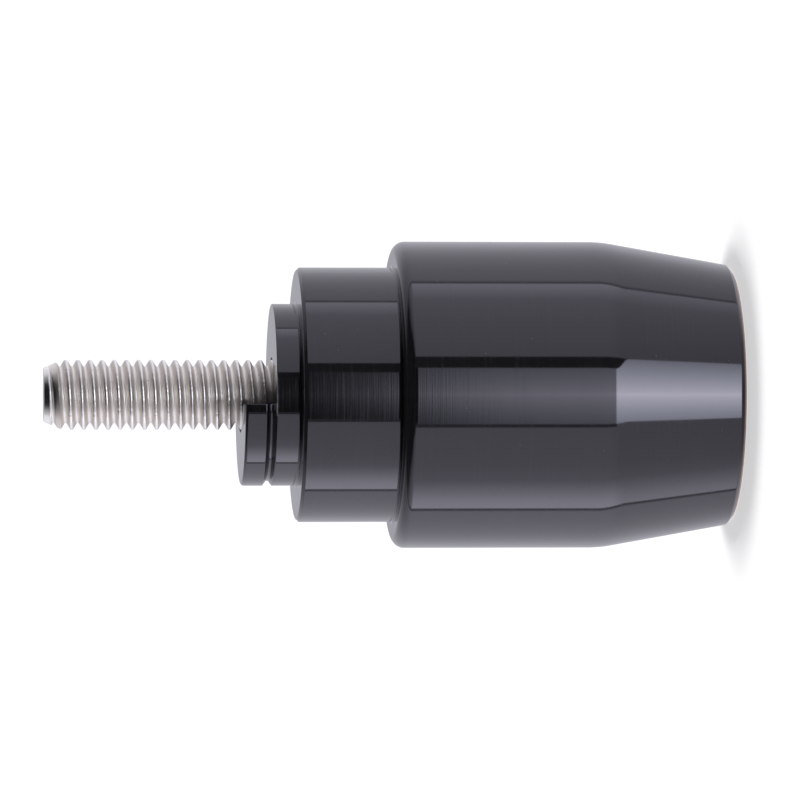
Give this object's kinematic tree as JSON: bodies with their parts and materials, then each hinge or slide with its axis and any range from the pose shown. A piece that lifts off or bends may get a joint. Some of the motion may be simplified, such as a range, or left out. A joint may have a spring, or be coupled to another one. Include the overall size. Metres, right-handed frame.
{
  "type": "bar end weight",
  "caption": "Turned black weight with a tapered outer end, a collar, a boss and a half-round key, and a long cap screw through its bore to fix it in the end of a handlebar.",
  "frame": {"origin": "centre of the outer end face, on which the part stands", "axes": "+Z along the common axis of body and screw, from the outer end to the screw tip; the half-round key lies on the -X side, so its flat faces +X"},
  "size_m": [0.0252, 0.0252, 0.0568],
  "materials": {
    "black_anodised": "gloss black anodised, over fine turning marks",
    "stainless_steel": "bright rolled stainless"
  },
  "bodies": {
    "root": {"weight_body": "black_anodised", "cap_screw": "stainless_steel"}
  },
  "joints": []
}
